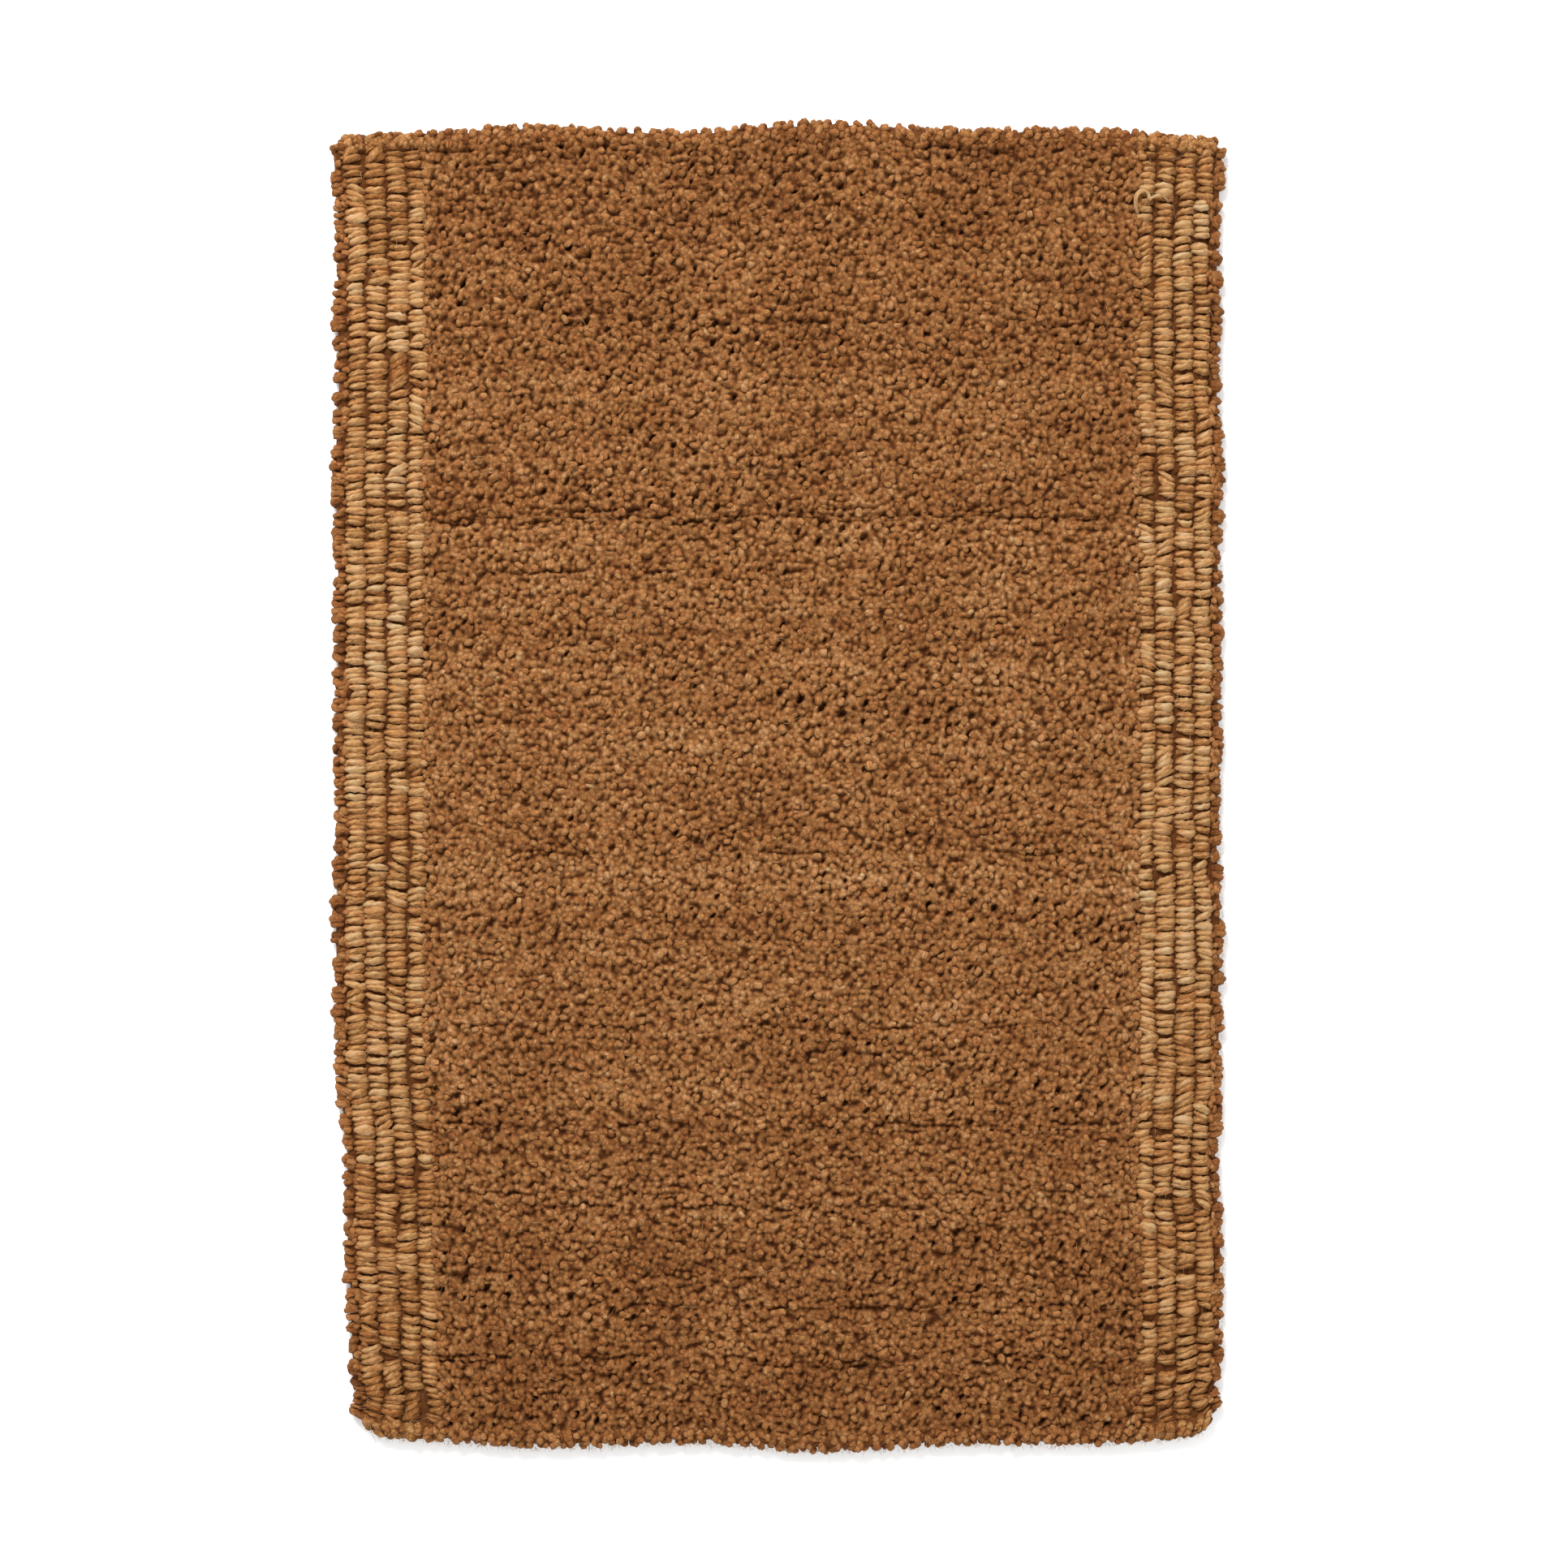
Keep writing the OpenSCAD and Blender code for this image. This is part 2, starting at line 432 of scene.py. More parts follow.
class PackedPile:
    """The pile as one surface: tufts pressed together, each a long mound of its own."""

    def __init__(self, top):
        half_x, half_y = PILE_HIGH.x + PILE_SPILL, GROUND_END
        self.x = np.linspace(-half_x, half_x, int(round(2 * half_x / BED_STEP)) + 1)
        self.y = self.rows_between(PIECE_ENDS)
        x, y = scattered(CLUMP_STEP, half_x, half_y, CLUMP_SPREAD)
        n = x.size
        way = lean(x, y, 1.0)
        long = CLUMP_R * random.uniform(1.0, 1.8, n)
        wide = CLUMP_R * random.uniform(0.82, 1.12, n)
        tall = random.uniform(2.4, 3.5, n) * MM
        base = random.normal(0, 0.6, n) * MM + 0.5 * MM * drift(x, y, 0.016, 33) - 1.0 * MM
        slope = random.normal(0, 0.16, n)
        tone = patch_tone(x, y) + random.normal(0, 0.32, n)
        start = random.uniform(0, 1, n)

        row, column, mound = self.points_near(x, y)
        dx = self.x[column] - x[mound]
        dy = self.y[row] - y[mound]
        along = dx * np.cos(way)[mound] + dy * np.sin(way)[mound]
        across = dy * np.cos(way)[mound] - dx * np.sin(way)[mound]
        out = 1 - (along / long[mound]) ** 2 - (across / wide[mound]) ** 2
        height = base[mound] + slope[mound] * along
        height = height + tall[mound] * np.sign(out) * np.sqrt(np.abs(out))
        # The highest mound at each point of the grid is the one that shows
        cell = row * self.x.size + column
        order = np.lexsort((height, cell))
        shown = order[np.append(np.diff(cell[order]) > 0, True)]
        shape = (self.y.size, self.x.size)
        owner = mound[shown].reshape(shape)
        self.tone = tone[owner]
        self.start = start[owner]
        z = self.smoothed(height[shown].reshape(shape))
        self.fibre = np.stack([across[shown].reshape(shape), z, along[shown].reshape(shape)], axis=2)
        self.sink(z, tall.mean() - 1.0 * MM, top)

    def rows_between(self, ends):
        """The Y of the grid's rows. There is one at each of the ends of the pieces."""
        rows = [np.array([ends[0]])]
        for a, b in zip(ends, ends[1:]):
            rows.append(np.linspace(a, b, int(round((b - a) / BED_STEP)) + 1)[1:])
        return np.concatenate(rows)

    def points_near(self, x, y):
        """The row and column of each point of the grid that is near a mound at x, y, and the
        number of that mound."""
        near = int(np.ceil(CLUMP_REACH / BED_STEP))
        window = np.arange(-near, near + 1)
        row = np.searchsorted(self.y, y)[:, None, None] + window[None, :, None]
        column = np.searchsorted(self.x, x)[:, None, None] + window[None, None, :]
        mound = np.arange(x.size)[:, None, None]
        row, column, mound = np.broadcast_arrays(row, column, mound)
        inside = (row >= 0) & (row < self.y.size) & (column >= 0) & (column < self.x.size)
        return row[inside], column[inside], mound[inside]

    def smoothed(self, z):
        """The heights with the steps between neighbouring points taken down."""
        around = z[:-2, 1:-1] + z[2:, 1:-1] + z[1:-1, :-2] + z[1:-1, 2:]
        z[1:-1, 1:-1] = 0.6 * z[1:-1, 1:-1] + 0.1 * around
        return z

    def sink(self, z, crown, top):
        """Sets the surface's height, low in the pits and under the loops, and its depth, which paints
        shade that is darkest low between the mounds and in the pits.
        """
        x, y = np.meshgrid(self.x, self.y)
        pit = pits(x, y)
        beyond = np.abs(x) - PILE_HIGH.x + SPILL_WANDER * drift(x, y, 0.011, 38)
        spill = np.clip(beyond / PILE_SPILL + 0.15, 0, 1)
        self.z = top - BED_DROP + np.clip(z, -crown, None) - PIT_DEPTH * np.maximum(pit, spill**2)
        self.z = np.maximum(self.z, GROUND_TOP + BED_MIN)
        # Painted shade: darker low between the mounds, and darker still in the pits
        self.depth = np.clip(0.95 + 0.15 * (z - crown) / MM, 0, 1) * (1 - 0.7 * pit)

    def part(self, y0, y1):
        """The part of the surface from y0 to y1, closed with a flat face inside the ground."""
        first, last = np.searchsorted(self.y, [y0 - 1e-6, y1 - 1e-6])
        rows = slice(first, last + 1)
        x, y = np.meshgrid(self.x, self.y[rows])
        solid = GridSolid(np.stack([x, y, self.z[rows]], axis=2), GROUND_TOP - BED_SINK)
        shade = [self.tone, self.depth, self.start]
        fibre = [self.fibre[..., axis] for axis in range(3)]
        solid.shade = np.stack([solid.on_points(values[rows]) for values in shade], axis=1)
        solid.fibre = np.stack([solid.on_points(values[rows]) for values in fibre], axis=1)
        return solid


def curled(x, y, top):
    """Tufts at these places, each bent over in its own direction, up to about height top."""
    n = x.size
    way = lean(x, y, 1.0)
    reach = random.uniform(1.0, 6.0, n) * MM
    tall = top - GROUND_TOP - TUFT_R - 0.8 * MM + random.normal(0, 0.6, n) * MM
    tall += 0.7 * MM * drift(x, y, 0.014, 33) - 0.8 * PIT_DEPTH * pits(x, y)
    path = np.zeros((n, TUFT_OUT.size, 3))
    sideways = unit(way)[:, None, :2] * (reach[:, None] * TUFT_OUT)[..., None]
    path[..., :2] = np.stack([x, y], 1)[:, None] + sideways
    path[..., 2] = GROUND_TOP + tall[:, None] * TUFT_UP
    path[:, 1:] += random.normal(0, 0.35, (n, TUFT_OUT.size - 1, 3)) * MM
    size = TUFT_R * random.uniform(0.8, 1.25, n) * (1.18 - 0.22 * reach / (6.4 * MM))
    radius = size[:, None] * TUFT_TAPER
    tone = patch_tone(x, y) + random.normal(0, 0.30, n)
    # Painted shade: each tuft darkens down towards its root
    depth = np.clip((path[..., 2] - GROUND_TOP) / (top - TUFT_R - GROUND_TOP), 0, 1)
    across = unit(way + np.pi / 2)
    return Strands(path, across, radius, TUFT_SIDES, tone, depth, twist=TUFT_TWIST, rough=0.10)


def field_tufts():
    """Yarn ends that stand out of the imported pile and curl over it."""
    x, y = scattered(TUFT_STEP, PILE_HIGH.x + 1.0 * MM, GROUND_END - MM, TUFT_SPREAD)
    return curled(x, y, PILE_HIGH.z)


def seam_tufts(side):
    """Yarn ends of the pile that lean over the innermost column of loops on one side."""
    y = random.uniform(-GROUND_END, GROUND_END, SEAM_TUFTS)
    x = side * (PILE_HIGH.x + random.normal(0.9, 1.2, SEAM_TUFTS) * MM)
    return curled(x, y, PILE_HIGH.z - 1.2 * MM)


# ---------------------------------------------------------------- rounded ends

# Rows of yarn ends round the nose, from the top (0) over the front (90), in degrees
NOSE_ROWS = [-38, -14, 8, 32, 58, 84, 108]
# A yarn end, from root to tip: along its length, its sideways bend, thickness, and depth, which paints
# shade towards its root
NOSE_SHARE = np.array([0.15, 0.55, 0.85, 1.05])
NOSE_BEND = np.array([0.2, 0.6, 1.0])
NOSE_TAPER = np.array([0.7, 1.0, 1.15, 0.7])
NOSE_SHADE_DEPTH = np.array([0.1, 0.5, 0.85, 1.0])
# Spacing and middle tone of the yarn ends at the pile, and at the loops
PILE_NOSE = (9.0 * MM, -0.35)
LOOP_NOSE = (6.2 * MM, -1.2)


def rolled_end(end, x0, x1, step, shade):
    """Yarn ends on the rounded nose of the near (-1) or far (1) end, from x0 to x1. shade is
    their middle tone."""
    count = int((x1 - x0) / step)
    turn, place = np.meshgrid(np.radians(NOSE_ROWS), np.arange(count), indexing="ij")
    n = turn.size
    x = x0 + (place.ravel() + 0.25 + 0.5 * random.random(n)) / count * (x1 - x0)
    turn = turn.ravel() + random.normal(0, 0.12, n)
    middle_z = PILE_HIGH.z / 2
    reach = middle_z - 2.4 * MM + random.normal(0, 0.8, n) * MM
    outside = np.abs(x) > PILE_HIGH.x
    reach -= 0.8 * MM * outside
    out = np.stack([random.normal(0, 0.25, n), end * np.sin(turn), np.cos(turn)], 1)
    start = np.stack([x, np.full(n, end * (GROUND_END + 0.5 * MM)), np.full(n, middle_z)], 1)
    path = start[:, None] + out[:, None] * (reach[:, None] * NOSE_SHARE)[..., None]
    path[:, 1:, 0] += (random.normal(0, 1.6, n) * MM)[:, None] * NOSE_BEND
    size = TUFT_R * random.uniform(0.95, 1.4, n) * np.where(outside, 1.25, 1)
    radius = size[:, None] * NOSE_TAPER
    # Painted shade: the rows on the front and underside of the nose are darker
    tone = shade + random.normal(0, 0.3, n) - 0.25 * (turn > 1)
    # Painted shade towards the root of each end
    depth = np.broadcast_to(NOSE_SHADE_DEPTH, (n, NOSE_SHADE_DEPTH.size))
    across = np.tile([1.0, 0.0, 0.0], (n, 1))
    return Strands(path, across, radius, TUFT_SIDES, tone, depth, TUFT_TWIST, lobe=0.10, rough=0.10)


def core(start, end, radius):
    """One straight run of packed yarn between two points, hidden under other strands."""
    start, end = np.array(start), np.array(end)
    rings = max(4, int(np.linalg.norm(end - start) / CORE_STEP))
    path = (start + (end - start) * np.linspace(0, 1, rings)[:, None])[None]
    across = np.array([[0.0, 0.0, 1.0]])
    radius = np.full((1, rings), radius)
    tone = np.array([-0.3])
    # Painted shade: the core lies under other strands, so it gets a low depth and is dark
    depth = np.full((1, rings), 0.35)
    return Strands(path, across, radius, CORE_SIDES, tone, depth, LOOP_TWIST, lobe=0.12, rough=0.05)


def end_core(end):
    """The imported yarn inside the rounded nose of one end."""
    y, z = end * (GROUND_END - 0.5 * MM), PILE_HIGH.z / 2
    return core((-GROUND_HIGH.x, y, z), (GROUND_HIGH.x, y, z), z - 3.6 * MM)


# ---------------------------------------------------------------- loose fibres

PILE_HAIRS = 900
BORDER_HAIRS = 260
FUZZ_ON_END = 600
FUZZ_ON_SIDE = 450
HAIR_RINGS = 5
HAIR_SIDES = 4
# How far inside the mat's edge the fibres of its sides and ends start
FUZZ_ROOT = 2.2 * MM


def hairs(x, y, z, way, long, rise):
    """Fibres that curl out of the yarn from these places, thin and pale."""
    n = x.size
    curl = random.normal(0, 1.0, n)
    t = np.linspace(0, 1, HAIR_RINGS)
    heading = way[:, None] + curl[:, None] * t
    path = np.cumsum(unit(heading) * (long / (HAIR_RINGS - 1))[:, None, None], axis=1)
    path += np.stack([x, y, z], 1)[:, None]
    path[..., 2] += rise[:, None] * np.sin(np.pi * t)
    radius = random.uniform(0.07, 0.14, n)[:, None] * MM * (1.1 - t)
    tone = random.uniform(0.4, 1.4, n)
    return Strands(path, unit(way + np.pi / 2), radius, HAIR_SIDES, tone, np.ones((n, HAIR_RINGS)))


def loose_hairs(count, x0, x1, top):
    """Long loose hairs that lie on the yarn from x0 to x1."""
    x = random.uniform(x0, x1, count)
    y = random.uniform(-GROUND_END, GROUND_END, count)
    z = np.full(count, top - 0.8 * MM)
    long = random.uniform(5, 16, count) * MM
    rise = random.uniform(0.8, 2.4, count) * MM
    way = random.uniform(0, 2 * np.pi, count)
    return hairs(x, y, z, way, long, rise)


def fuzz_on_side(side):
    """Short fibres that stand out of the left (-1) or right (1) edge."""
    y = random.uniform(-GROUND_END, GROUND_END, FUZZ_ON_SIDE)
    x = np.full(FUZZ_ON_SIDE, side * (HALF_W - FUZZ_ROOT))
    way = (side < 0) * np.pi + random.normal(0, 0.8, FUZZ_ON_SIDE)
    z = random.uniform(4, 11, FUZZ_ON_SIDE) * MM
    long = random.uniform(2.0, 4.0, FUZZ_ON_SIDE) * MM
    rise = random.normal(0, 1, FUZZ_ON_SIDE) * MM
    return hairs(x, y, z, way, long, rise)


def fuzz_on_end(end):
    """Short fibres that stand out of the near (-1) or far (1) end."""
    x = random.uniform(-GROUND_HIGH.x, GROUND_HIGH.x, FUZZ_ON_END)
    y = np.full(FUZZ_ON_END, end * (HALF_L - FUZZ_ROOT))
    way = end * np.pi / 2 + random.normal(0, 0.8, FUZZ_ON_END)
    z = random.uniform(4, 15, FUZZ_ON_END) * MM
    long = random.uniform(2.0, 4.5, FUZZ_ON_END) * MM
    rise = random.normal(0, 1, FUZZ_ON_END) * MM
    return hairs(x, y, z, way, long, rise)


# ---------------------------------------------------------------- border loops

COLUMNS = 4
# The CAD columns leave a gap between them, so the last one is 0.94 of a pitch wide
COLUMN_PITCH = (LOOP_HIGH.x - LOOP_LOW.x) / (COLUMNS - 1 + 0.94)
LOOP_R = 2.25 * MM
PAIR_STEP = 8.6 * MM
PAIR_SPREAD = 2.4 * MM
# More bundles of loops than one column can have
BUNDLES = 400
LOOP_RINGS = 12
LOOP_SIDES = 12
LOOP_TWIST = 2 * np.pi / (55 * MM)
LOOP_END = GROUND_END - 1 * MM
# The loops are untidy over this length at each end
UNTIDY_L = 36 * MM
LOOP_SLANT = 0.42
BLOB_SHARE = 0.08
LOOP_BED_STEP = 2.2 * MM
LOOP_BED_DROP = 6.2 * MM
LOOP_BED_RELIEF = 1.5 * MM
# The bed shows only in the gaps between loops; its low depth paints shade there
LOOP_BED_SHADE_DEPTH = 0.10
PULLED_R = 1.3 * MM
PULLED_RINGS = 26
# Bends of the pulled loop, in millimetres
PULLED_BENDS = [
    (240, 391, 12),
    (238, 396, 17),
    (237, 401, 19),
    (239, 405, 20),
    (243, 407, 19),
    (247, 404, 18),
    (246, 400, 18),
    (249, 403, 19),
    (255, 405, 18),
    (260, 401, 13),
]


def loop_bed(side, y0, y1):
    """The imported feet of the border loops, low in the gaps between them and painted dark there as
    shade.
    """
    x, y = level_grid(*sorted((side * PILE_HIGH.x, side * CORE_X)), y0, y1, LOOP_BED_STEP)
    z = LOOP_HIGH.z - LOOP_BED_DROP + LOOP_BED_RELIEF * drift(x, y, 0.006, 35)
    solid = GridSolid(np.stack([x, y, z], axis=2), GROUND_TOP - BED_SINK)
    x, y, z = solid.points.T
    # Painted shade: the bed's dark tone and low depth stand in for the shade in the gaps
    tone = 0.6 * drift(x, y, 0.006, 36) - 1.0
    solid.shade = np.stack([tone, np.full_like(z, LOOP_BED_SHADE_DEPTH), np.full_like(z, 0.5)], axis=1)
    return solid


def loop_column(rows):
    """The loops of one column, whose pairs lie near these rows: the Y of each, the side of
    its pair that it is on (-1 or 1), and the number of its bundle of one or more pairs."""
    middles = rows + random.normal(0, 0.55, rows.size) * MM
    spread = PAIR_SPREAD * random.uniform(0.85, 1.1, rows.size)
    joins = random.random(rows.size) < 0.35
    bundle = np.cumsum(~joins)
    partner = np.tile([-1.0, 1.0], rows.size)
    y = np.repeat(middles, 2) + partner * np.repeat(spread, 2) / 2
    return y, partner, np.repeat(bundle, 2)


def border_loops(side):
    """Uncut loops, each an arch across its column, on the left (-1) or right (1) side."""
    first = side * (PILE_HIGH.x + COLUMN_PITCH / 2)
    count = int(2 * LOOP_END / PAIR_STEP)
    steps = random.uniform(0.88, 1.08, count) + 0.16 * (random.random(count) < 0.2)
    rows = (np.cumsum(steps) - steps[0] / 2) / steps.sum() * 2 * LOOP_END - LOOP_END
    columns = []
    for column in range(COLUMNS):
        y, partner, bundle = loop_column(rows)
        x = np.full(y.size, first + side * column * COLUMN_PITCH)
        columns.append(np.stack([x, y, partner, bundle + column * BUNDLES]))
    x, y, partner, bundle = np.concatenate(columns, axis=1)
    bundle = bundle.astype(int)
    n = x.size

    def uneven(bundles, loops):
        """A random value with one spread between bundles and another within them."""
        return random.normal(0, bundles, COLUMNS * BUNDLES)[bundle] + random.normal(0, loops, n)

    x = x + (uneven(0.4, 0.35) + 0.8 * drift(x, y, 0.035, 43)) * MM
    untidy = ease((np.abs(y) - (LOOP_END - UNTIDY_L)) / UNTIDY_L)
    blob = random.random(n) < BLOB_SHARE
    slant = LOOP_SLANT * np.sign(np.trunc(uneven(0.65, 0.0)))
    tilt = uneven(0.10, 0.07) + slant + untidy * random.normal(0, 0.32, n)
    half = COLUMN_PITCH / 2 * (0.93 + uneven(0.07, 0.07)) * np.where(blob, 0.85, 1)
    tall = LOOP_HIGH.z - GROUND_TOP - LOOP_R + uneven(0.6, 0.5) * MM + 0.8 * MM * blob
    tall -= 1.6 * MM * untidy
    turn = np.linspace(np.pi, 0, LOOP_RINGS)
    flat = np.cos(turn)
    rise = np.sin(turn) ** 0.7
    bow = (uneven(1.2, 0.35) + partner * np.clip(1.3 + uneven(0.4, 0.2), 0.3, 2.2)) * MM
    path = np.zeros((n, LOOP_RINGS, 3))
    path[..., 0] = x[:, None] + (half * np.cos(tilt))[:, None] * flat
    path[..., 1] = y[:, None] + (half * np.sin(tilt))[:, None] * flat + bow[:, None] * rise
    path[..., 2] = GROUND_TOP - 1.0 * MM + tall[:, None] * rise
    path[:, 2:-2] += random.normal(0, 0.22, (n, LOOP_RINGS - 4, 3)) * MM
    size = LOOP_R * random.uniform(0.86, 1.16, n) * np.where(blob, 1.3, 1)
    radius = size[:, None] * (0.5 + 0.6 * np.sin(turn)) * random.uniform(0.93, 1.07, (n, LOOP_RINGS))
    tone = 0.25 + 0.16 * drift(x, y, 0.09, 41) + uneven(0.18, 0.2) - 0.45 * untidy
    # Darker towards the ends, most at the near end: partly the yarn's own colour and partly painted
    # shade
    tone -= np.where(y < 0, 0.55, 0.15) * (y / HALF_L) ** 2
    # Painted shade: each loop darkens down its sides towards its feet
    depth = np.clip((path[..., 2] - GROUND_TOP) / (LOOP_HIGH.z - GROUND_TOP), 0, 1)
    across = unit(tilt + np.pi / 2)
    return Strands(path, across, radius, LOOP_SIDES, tone, depth, LOOP_TWIST, lobe=0.11, rough=0.04)


def pulled_loop():
    """One strand that has been pulled out of the right border and has curled up."""
    bends = np.array(PULLED_BENDS)
    t, knots = np.linspace(0, 1, PULLED_RINGS), np.linspace(0, 1, len(bends))
    path = np.stack([np.interp(t, knots, bends[:, axis]) for axis in range(3)], axis=1)[None] * MM
    for _ in range(2):
        path[:, 1:-1] = (path[:, :-2] + 2 * path[:, 1:-1] + path[:, 2:]) / 4
    radius = PULLED_R * (1.05 - 0.4 * ease(2 * t - 0.7))[None]
    across = np.array([[0.0, 0.0, 1.0]])
    tone = np.array([-0.1])
    depth = np.ones((1, PULLED_RINGS))
    return Strands(path, across, radius, LOOP_SIDES, tone, depth, LOOP_TWIST, lobe=0.14, rough=0.05)


# ---------------------------------------------------------------- wrapped side edges

WRAP_R = 2.1 * MM
WRAP_STEP = 3.1 * MM
WRAP_RINGS = 9
WRAP_SIDES = 8
# A wrap runs over the cord from its inner top to its inner underside, in degrees
WRAP_FROM, WRAP_TO = 118, -104
# Enough clumps of wraps for the mat's length
CLUMPS = 80
CORE_R = 2.9 * MM
CORE_STEP = 3.5 * MM
CORE_SIDES = 8
CORE_X = CORD_LOW.x + 2.8 * MM
CORE_OVERLAP = 0.01 * MM
STRAYS = 240
# The stray ends are pushed together in places this far apart
STRAY_WAVE = 47 * MM
STRAY_SHIFT = 6 * MM


def edge_wraps(side):
    """Yarn wrapped in uneven clumps over the edge cord on the left (-1) or right (1) side."""
    clumps = np.cumsum(random.uniform(9, 15, CLUMPS) * MM) - GROUND_END - 6 * MM
    place = np.tile([-1.0, 0.0, 1.0], (clumps.size, 1))
    y = (clumps[:, None] + WRAP_STEP * place + random.normal(0, 0.6, place.shape) * MM).ravel()
    proud = (random.normal(0, 0.6, clumps.size)[:, None] - 0.8 * np.abs(place)).ravel() * MM
    kept = (random.random(y.size) > 0.06) & (np.abs(y) < GROUND_END)
    y, proud = y[kept], proud[kept]
    n = y.size
    proud += random.normal(0, 0.5, n) * MM
    turn = np.radians(np.linspace(WRAP_FROM, WRAP_TO, WRAP_RINGS))
    middle_x = CORD_LOW.x + 2.6 * MM
    wide = CORD_HIGH.x - middle_x - WRAP_R * 0.9
    tall = (CORD_HIGH.z - 2 * WRAP_R) / 2
    path = np.zeros((n, WRAP_RINGS, 3))
    path[..., 0] = side * (middle_x + (wide + proud)[:, None] * np.cos(turn))
    path[..., 1] = y[:, None] + (random.normal(0, 1.2, n) * MM)[:, None] * np.sin(turn)
    path[..., 2] = CORD_HIGH.z / 2 + tall * np.sin(turn)
    path[:, 1:-1] += random.normal(0, 0.25, (n, WRAP_RINGS - 2, 3)) * MM
    size = WRAP_R * random.uniform(0.8, 1.25, n)
    radius = size[:, None] * (0.8 + 0.3 * np.cos(turn * 0.8))
    tone = -0.5 + random.normal(0, 0.35, n)
    # Painted shade: the wrap darkens towards its ends, where it runs in against the mat
    depth = np.tile(0.5 + 0.45 * np.cos(turn * 0.75), (n, 1))
    across = np.tile([0.0, 1.0, 0.0], (n, 1))
    return Strands(path, across, radius, WRAP_SIDES, tone, depth, LOOP_TWIST, lobe=0.08, rough=0.07)


def edge_strays(side):
    """Ends of the wrapping yarn that have worked loose over the outer column of loops."""
    y = random.uniform(-GROUND_END, GROUND_END, STRAYS)
    y = y + STRAY_SHIFT * np.sin(y * 2 * np.pi / STRAY_WAVE)
    x = side * (CORD_LOW.x + random.normal(0.5, 1.6, STRAYS) * MM)
    return curled(x, np.clip(y, -GROUND_END, GROUND_END), LOOP_HIGH.z - 1.5 * MM)


def edge_cores(side):
    """The cord that runs inside the wraps, cut where the pieces are."""
    x, z = side * CORE_X, CORD_HIGH.z / 2
    runs = zip(PIECE_ENDS, PIECE_ENDS[1:])
    return [core((x, a + CORE_OVERLAP, z), (x, b, z), CORE_R) for a, b in runs]


# ---------------------------------------------------------------- ground weave and hems

WEFT_PITCH = 5.0 * MM
WARP_PITCH = 6.6 * MM
RELIEF = 1.1 * MM
ROWS_PER_WEFT = 3
# The angle above which two faces of the cloth meet in a sharp edge
CLOTH_EDGE = np.radians(65)
# Length over which the ground climbs onto a hem
HEM_CLIMB = 12 * MM
HEM_GAP = 0.1 * MM
STITCHES = 28
STITCH_HALF = 4.5 * MM
STITCH_R = 0.65 * MM
STITCH_Z = 0.75 * MM
STITCH_RINGS = 6
STITCH_SIDES = 8


def over_under(x, y):
    """1 where a yarn lies outermost on the underside, and -1 where it dips into the cloth."""
    return np.cos(np.pi * x / WARP_PITCH) * np.cos(np.pi * y / WEFT_PITCH)


def weave_relief(x, y):
    """How far the underside of the weave stands up from its lowest points."""
    rib = 0.5 - 0.5 * np.abs(np.cos(np.pi * y / WEFT_PITCH))
    return RELIEF * (0.5 - 0.5 * over_under(x, y)) + 0.5 * RELIEF * rib


def woven_slab(name, y0, y1, under, top, material):
    """A closed slab of cloth from y0 to y1 with the weave's relief below. under(y) is the
    height of its lowest points."""
    columns = int(round(2 * GROUND_HIGH.x / (WARP_PITCH / 2)))
    rows = max(2, int(round((y1 - y0) / (WEFT_PITCH / ROWS_PER_WEFT))))
    x = np.linspace(-GROUND_HIGH.x, GROUND_HIGH.x, columns + 1)
    y = np.linspace(y0, y1, rows + 1)
    y, x = np.meshgrid(y, x, indexing="ij")
    solid = GridSolid(np.stack([x, y, under(y) + weave_relief(x, y)], axis=2), top)
    x, y, _ = solid.points.T
    over = over_under(x, y)
    yarns = 0.22 * (waves(y, 2 * WEFT_PITCH, 52) + waves(x, 2 * WARP_PITCH, 53))
    tone = 0.10 * drift(x, y, 0.05, 51) + yarns
    # Painted shade: darker where a yarn dips into the cloth
    shade = np.stack([tone, 0.65 + 0.35 * over, np.zeros_like(over)], axis=1)
    fibre = solid.points * [1, 1, 0]
    slab = mesh_piece(name, solid.points, solid.faces, fibre, shade, material)
    slab.data.set_sharp_from_angle(angle=CLOTH_EDGE)
    return slab


def ground_under(y):
    """Height of the ground's underside, which climbs over the hems at both ends."""
    climb = ease((np.abs(y) - (HEM_LOW.y - HEM_CLIMB)) / HEM_CLIMB)
    return FLOOR_CLEAR + (HEM_HIGH.z - FLOOR_CLEAR) * climb


def hem_under(y):
    """Height of a hem's underside, which lies on the floor."""
    return np.full_like(y, FLOOR_CLEAR)


def hem_thread(end):
    """A row of straight stitches in the hem's underside."""
    middles = np.linspace(STITCH_LOW.x, STITCH_HIGH.x, STITCHES)
    t = np.linspace(-1, 1, STITCH_RINGS)
    path = np.zeros((STITCHES, STITCH_RINGS, 3))
    path[..., 0] = middles[:, None] + STITCH_HALF * t
    path[..., 1] = end * (STITCH_LOW.y + STITCH_HIGH.y) / 2
    path[..., 1] += (random.normal(0, 0.5, STITCHES) * MM)[:, None] * t
    path[..., 2] = STITCH_Z + 1.0 * MM * t**4
    radius = np.full((STITCHES, STITCH_RINGS), STITCH_R)
    depth = np.ones((STITCHES, STITCH_RINGS))
    tone = random.normal(0, 0.2, STITCHES)
    across = np.tile([0.0, 1.0, 0.0], (STITCHES, 1))
    return Strands(path, across, radius, STITCH_SIDES, tone, depth, LOOP_TWIST * 3, lobe=0.12)


# ---------------------------------------------------------------- materials

# How much a yarn's own tone and its small lumps count in its colour
TONE_SHARE = 0.20
LUMP_SHARE = 0.5
# Size of the fibres and of the lumps, as noise scales for each metre
FIBRE_SCALE = 1400
LUMP_SCALE = 430
# The depth at which yarn has its own colour: below it, shade is painted into the colour, and a little
# light above it
UNSHADED_DEPTH = 0.85
